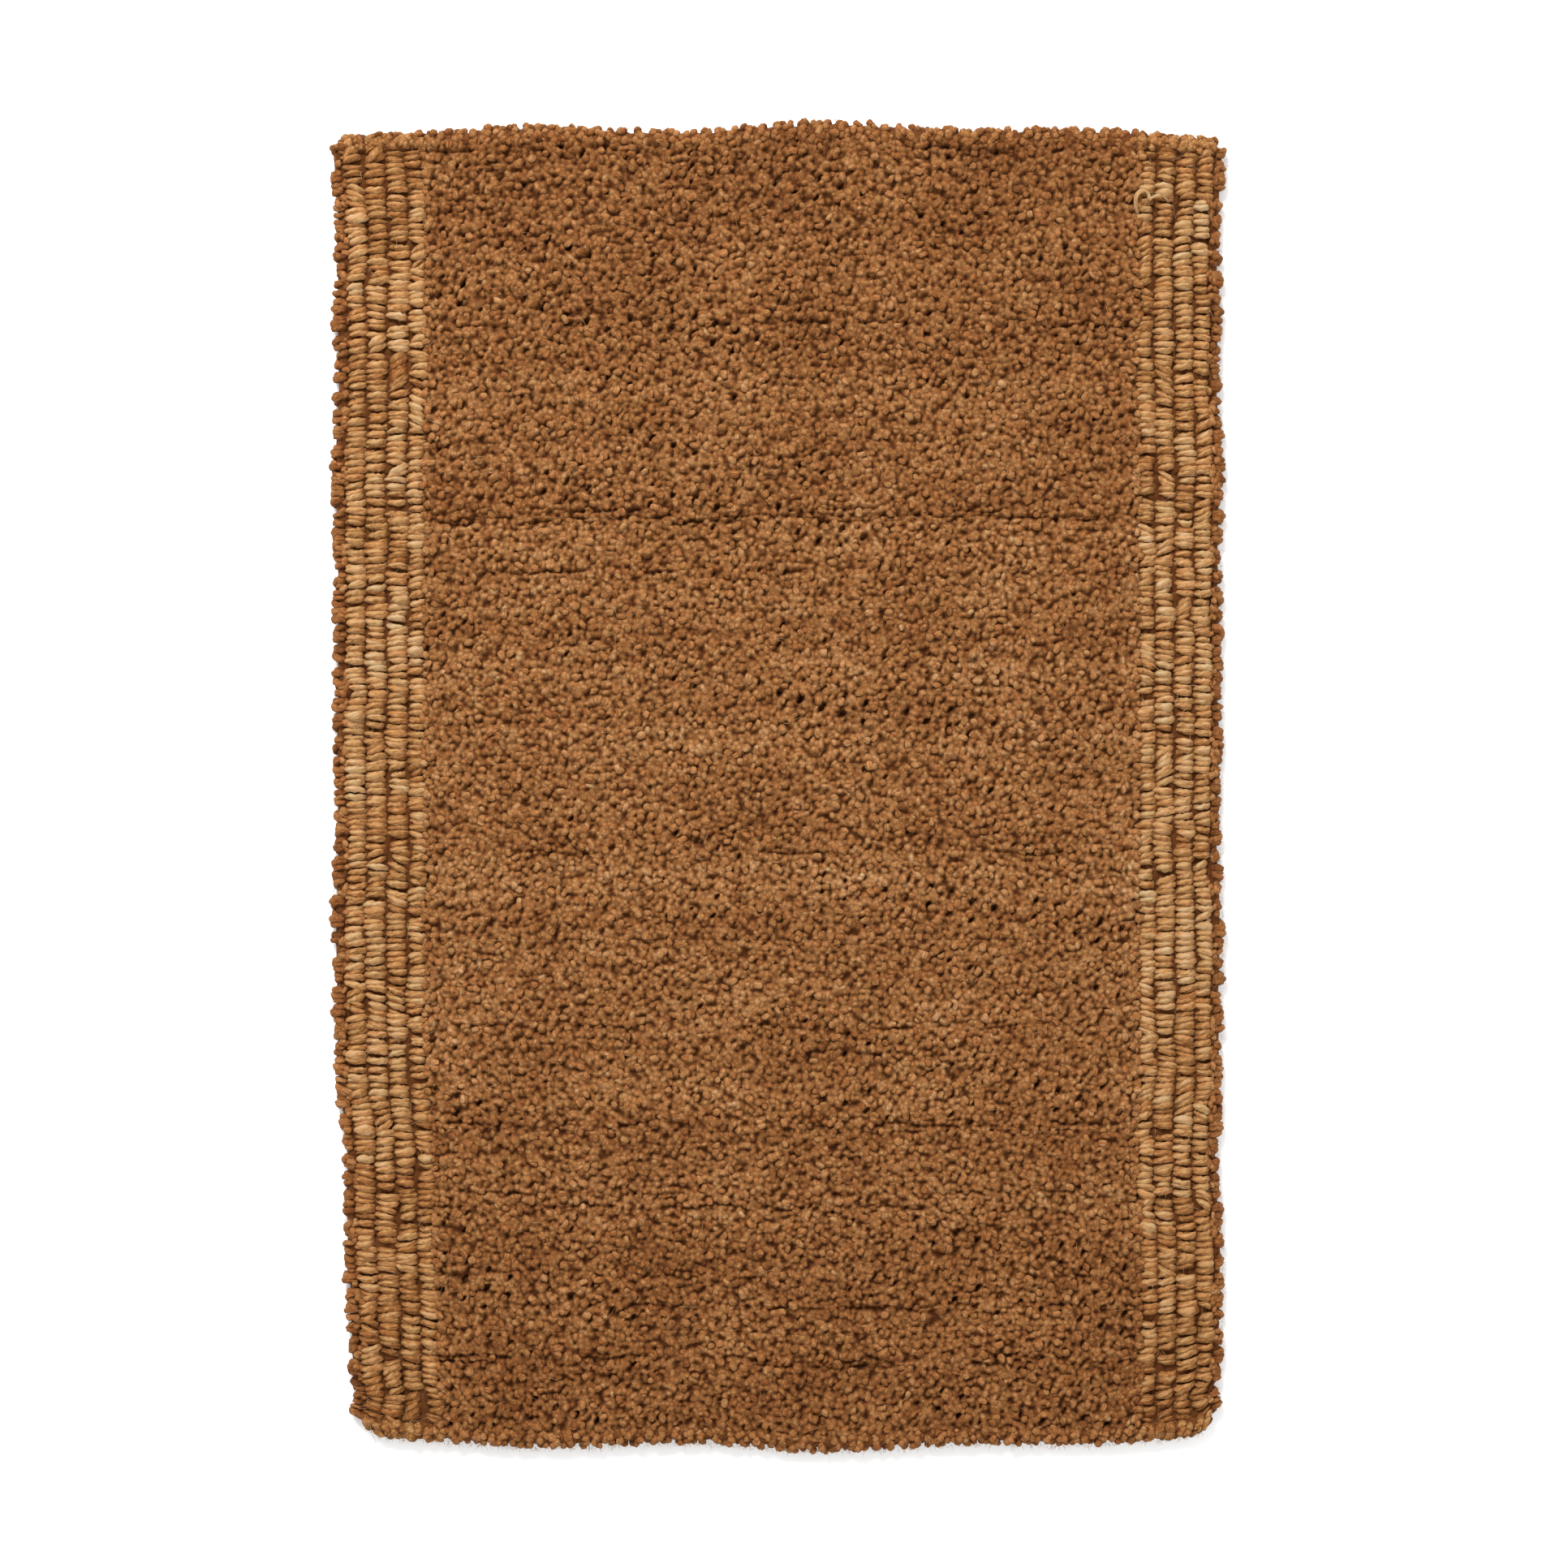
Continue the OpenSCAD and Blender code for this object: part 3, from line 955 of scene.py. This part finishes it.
# The yarns are not all dyed alike: from redder to yellower, over a strand's random number
DYE_STOPS = [(0.0, (1.04, 0.96, 0.90)), (0.5, (1.0, 1.0, 1.0)), (1.0, (0.97, 1.02, 1.04))]
PILE_STOPS = [
    (0.05, (0.054, 0.014, 0.002)),
    (0.30, (0.128, 0.043, 0.010)),
    (0.52, (0.213, 0.086, 0.025)),
    (0.72, (0.298, 0.146, 0.056)),
    (0.95, (0.380, 0.247, 0.133)),
]
LOOP_STOPS = [
    (0.05, (0.074, 0.022, 0.004)),
    (0.30, (0.200, 0.080, 0.021)),
    (0.52, (0.322, 0.170, 0.065)),
    (0.72, (0.360, 0.242, 0.128)),
    (0.95, (0.385, 0.310, 0.214)),
]
THREAD_STOPS = [(0.1, (0.30, 0.20, 0.10)), (0.5, (0.62, 0.47, 0.27)), (0.9, (0.80, 0.68, 0.46))]
SHEEN_TINT = (0.9, 0.6, 0.35, 1)


class Nodes:
    """Short names for building one material's node tree."""

    def __init__(self, name):
        self.material = bpy.data.materials.new(name)
        self.material.use_nodes = True
        self.tree = self.material.node_tree
        self.shader = self.tree.nodes["Principled BSDF"]

    def add(self, kind, **values):
        node = self.tree.nodes.new(kind)
        for key, value in values.items():
            setattr(node, key, value)
        return node

    def link(self, source, target):
        self.tree.links.new(source, target)

    def math(self, operation, a, b=0.0, c=None):
        node = self.add("ShaderNodeMath", operation=operation)
        for socket, value in zip(node.inputs, (a, b, c)):
            if value is None:
                continue
            if isinstance(value, (int, float)):
                socket.default_value = value
            else:
                self.link(value, socket)
        return node.outputs[0]

    def vector(self, operation, a, b=(0, 0, 0)):
        node = self.add("ShaderNodeVectorMath", operation=operation)
        for socket, value in zip(node.inputs, (a, b)):
            if isinstance(value, tuple):
                socket.default_value = value
            else:
                self.link(value, socket)
        return node.outputs[0]

    def noise(self, vector, scale, detail=3.0, rough=0.55):
        node = self.add("ShaderNodeTexNoise")
        node.inputs["Scale"].default_value = scale
        node.inputs["Detail"].default_value = detail
        node.inputs["Roughness"].default_value = rough
        self.link(vector, node.inputs["Vector"])
        return node.outputs["Fac"]

    def ramp(self, factor, stops):
        node = self.add("ShaderNodeValToRGB")
        elements = node.color_ramp.elements
        while len(elements) < len(stops):
            elements.new(0.5)
        for element, (place, colour) in zip(elements, stops):
            element.position = place
            element.color = (*colour, 1)
        self.link(factor, node.inputs["Fac"])
        return node.outputs["Color"]

    def attribute(self, name):
        return self.add("ShaderNodeAttribute", attribute_name=name).outputs["Vector"]

    def around(self, value, middle, share, level):
        """level, plus share times how far value is above middle."""
        return self.math("MULTIPLY_ADD", self.math("SUBTRACT", value, middle), share, level)


def yarn(name, stops, depth_shade_share=0.45, fibre_share=0.9, stretch=0.16, ply_shade_share=0.05, ridges=0.15):
    """Spun natural yarn: its colour runs from shade painted deep in the pile to its pale fibres.
    The shares say how much its depth (as painted shade), its fibres and its plies (as painted shade
    in the grooves between them) count in the colour. stretch is a fibre's width as a share of its
    length, and ridges how far the plies stand up."""
    nodes = Nodes(name)
    fibre = nodes.attribute("fibre")
    shade = nodes.add("ShaderNodeSeparateXYZ")
    nodes.link(nodes.attribute("shade"), shade.inputs[0])
    tone, depth, start = shade.outputs
    own = nodes.add("ShaderNodeCombineXYZ")
    nodes.link(start, own.inputs[0])
    moved = nodes.vector("ADD", fibre, own.outputs[0])
    strands = nodes.noise(nodes.vector("MULTIPLY", moved, (1, 1, stretch)), FIBRE_SCALE)
    lumps = nodes.noise(moved, LUMP_SCALE, 2.0)
    # The ridge of each ply: the cosine of three times the angle round the yarn
    round_yarn = nodes.add("ShaderNodeSeparateXYZ")
    across = nodes.vector("NORMALIZE", nodes.vector("MULTIPLY", fibre, (1, 1, 0)))
    nodes.link(across, round_yarn.inputs[0])
    cosine = round_yarn.outputs[0]
    cube = nodes.math("MULTIPLY", nodes.math("POWER", cosine, 3.0), 4.0)
    ridge = nodes.math("SUBTRACT", cube, nodes.math("MULTIPLY", cosine, 3.0))
    level = nodes.math("MULTIPLY_ADD", tone, TONE_SHARE, 0.5)
    level = nodes.around(strands, 0.5, fibre_share, level)
    level = nodes.around(lumps, 0.5, LUMP_SHARE, level)
    # Painted shade: the colour darkens where the depth is low, in creases and low in the pile
    level = nodes.around(depth, UNSHADED_DEPTH, depth_shade_share, level)
    # Painted shade between the plies: lighter on each ridge and darker in the grooves
    level = nodes.math("MULTIPLY_ADD", ridge, ply_shade_share, level)
    colour = nodes.vector("MULTIPLY", nodes.ramp(level, stops), nodes.ramp(start, DYE_STOPS))
    nodes.link(colour, nodes.shader.inputs["Base Color"])
    rough = nodes.math("MULTIPLY_ADD", strands, 0.2, 0.78)
    nodes.link(rough, nodes.shader.inputs["Roughness"])
    height = nodes.math("MULTIPLY_ADD", lumps, 0.8, strands)
    height = nodes.math("MULTIPLY_ADD", ridge, ridges, height)
    relief = nodes.add("ShaderNodeBump")
    relief.inputs["Strength"].default_value = 0.8
    relief.inputs["Distance"].default_value = 0.5 * MM
    nodes.link(height, relief.inputs["Height"])
    nodes.link(relief.outputs["Normal"], nodes.shader.inputs["Normal"])
    nodes.shader.inputs["Specular IOR Level"].default_value = 0.12
    nodes.shader.inputs["Sheen Weight"].default_value = 0.03
    nodes.shader.inputs["Sheen Roughness"].default_value = 0.5
    nodes.shader.inputs["Sheen Tint"].default_value = SHEEN_TINT
    return nodes.material


pile_yarn = yarn(
    "pile_yarn", PILE_STOPS, depth_shade_share=0.52, fibre_share=1.05, stretch=0.5, ply_shade_share=0.0, ridges=0.0
)
wrap_yarn = yarn("wrap_yarn", PILE_STOPS, stretch=0.4, ply_shade_share=0.02)
loop_yarn = yarn("loop_yarn", LOOP_STOPS, depth_shade_share=0.6)
ground_yarn = yarn("ground_yarn", LOOP_STOPS, depth_shade_share=0.3)
hem_yarn = yarn("hem_yarn", LOOP_STOPS, depth_shade_share=0.3)
thread = yarn("sewing_thread", THREAD_STOPS)

# ---------------------------------------------------------------- the pieces


def pile_strands():
    """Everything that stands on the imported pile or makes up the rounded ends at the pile."""
    strands = [field_tufts()]
    for end in ENDS.values():
        strands.append(rolled_end(end, -PILE_HIGH.x, PILE_HIGH.x, *PILE_NOSE))
        strands.append(end_core(end))
        strands.append(fuzz_on_end(end))
    strands.append(loose_hairs(PILE_HAIRS, -PILE_HIGH.x, PILE_HIGH.x, PILE_HIGH.z))
    return strands


def border_strands():
    """The strands of the borders and those of the wrapped edges, each by side."""
    loops = {name: [border_loops(side)] for name, side in SIDES.items()}
    loops["right"].append(pulled_loop())
    wraps = {}
    for name, side in SIDES.items():
        border = sorted((side * PILE_HIGH.x, side * GROUND_HIGH.x))
        loops[name] += [rolled_end(end, *border, *LOOP_NOSE) for end in ENDS.values()]
        loops[name].append(loose_hairs(BORDER_HAIRS, *border, LOOP_HIGH.z))
        wraps[name] = [edge_wraps(side), edge_strays(side), *edge_cores(side), fuzz_on_side(side)]
    return loops, wraps


def make_mat():
    """Makes the pile, the borders, the wrapped edges and the ground cloth, piece by piece."""
    pile = pile_strands()
    loops, wraps = border_strands()
    packed = PackedPile(PILE_HIGH.z)
    pile += [seam_tufts(side) for side in SIDES.values()]
    for index, (y0, y1) in enumerate(zip(PIECE_ENDS, PIECE_ENDS[1:])):
        number = index + 1
        bed = packed.part(y0, y1)
        tufts = strand_piece(f"pile_tufts_{number}", pile, index, pile_yarn, bed)
        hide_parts(f"centre_pile_{number}")
        band = [tufts]
        for name, side in SIDES.items():
            bed = loop_bed(side, y0, y1)
            label = f"{name}_border_loops_{number}"
            border = strand_piece(label, loops[name], index, loop_yarn, bed)
            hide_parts(f"{name}_loops_{number}")
            label = f"{name}_edge_wrap_{number}"
            edge = strand_piece(label, wraps[name], index, wrap_yarn)
            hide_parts(f"{name}_edge_cord_{number}")
            band += [border, edge]
        label = f"ground_cloth_{number}"
        cloth = woven_slab(label, y0, y1, ground_under, GROUND_TOP, ground_yarn)
        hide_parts(f"ground_weave_{number}")
        for piece in (*band, cloth):
            hold(piece, index)


def make_hems():
    """Makes the hem flaps that are turned under both ends, and their stitches."""
    for (name, end), index in zip(ENDS.items(), (0, PIECES - 1)):
        y0, y1 = sorted((end * HEM_LOW.y, end * GROUND_END))
        top = HEM_HIGH.z - HEM_GAP
        flap = woven_slab(f"{name}_hem_flap", y0, y1, hem_under, top, hem_yarn)
        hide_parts(f"{name}_hem")
        row = hem_thread(end)
        row.at[:] = y0
        stitches = strand_piece(f"{name}_hem_thread", [row], index, thread)
        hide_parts(f"{name}_hem_stitches")
        hold(flap, index)
        hold(stitches, index)


# ---------------------------------------------------------------- floor, light and camera

FLOOR_REACH = 30.0
FLOOR_STOPS = [(0.3, (0.89, 0.89, 0.885)), (0.7, (0.91, 0.91, 0.905))]
WORLD_STRENGTH = 1.02
LENS = 85
SENSOR_W = 36
# Width of the view at the height of the pile's top, and the middle of the view
VIEW_W = 1.0586
VIEW_X = 2.7 * MM
VIEW_Y = 1.6 * MM


def make_floor():
    """A pale floor, faintly mottled, that is not part of the mat."""
    mesh = bpy.data.meshes.new("floor")
    around = [(-1, -1), (1, -1), (1, 1), (-1, 1)]
    corners = [(FLOOR_REACH * x, FLOOR_REACH * y, 0) for x, y in around]
    mesh.from_pydata(corners, [], [(0, 1, 2, 3)])
    nodes = Nodes("floor_paint")
    place = nodes.add("ShaderNodeTexCoord").outputs["Object"]
    paint = nodes.ramp(nodes.noise(place, 14.0), FLOOR_STOPS)
    nodes.link(paint, nodes.shader.inputs["Base Color"])
    nodes.shader.inputs["Roughness"].default_value = 0.75
    mesh.materials.append(nodes.material)
    floor = bpy.data.objects.new("floor", mesh)
    bpy.context.scene.collection.objects.link(floor)


def make_light(name, place, size, power):
    """A square soft light that faces the middle of the mat."""
    light = bpy.data.lights.new(name, "AREA")
    light.shape = "SQUARE"
    light.size = size
    light.energy = power
    lamp = bpy.data.objects.new(name, light)
    lamp.location = place
    lamp.rotation_euler = (-Vector(place)).to_track_quat("-Z", "Y").to_euler()
    lamp.visible_camera = False
    bpy.context.scene.collection.objects.link(lamp)


def make_world():
    """Even white light from all round."""
    world = bpy.data.worlds.new("studio")
    world.use_nodes = True
    background = world.node_tree.nodes["Background"]
    background.inputs["Color"].default_value = (1, 1, 1, 1)
    background.inputs["Strength"].default_value = WORLD_STRENGTH
    bpy.context.scene.world = world


def make_camera():
    """Looks straight down, with the whole mat in the picture and air round it."""
    data = bpy.data.cameras.new("camera")
    data.lens = LENS
    data.sensor_width = SENSOR_W
    camera = bpy.data.objects.new("camera", data)
    camera.location = (VIEW_X, VIEW_Y, PILE_HIGH.z + VIEW_W * LENS / SENSOR_W)
    bpy.context.scene.collection.objects.link(camera)
    bpy.context.scene.camera = camera


make_camera()
make_world()
make_floor()
make_light("key", place=(-1.0, 2.3, 2.5), size=1.3, power=174)
make_light("fill", place=(2.2, -1.2, 2.8), size=2.5, power=34)
bpy.context.scene.view_settings.view_transform = "Standard"
make_mat()
make_hems()
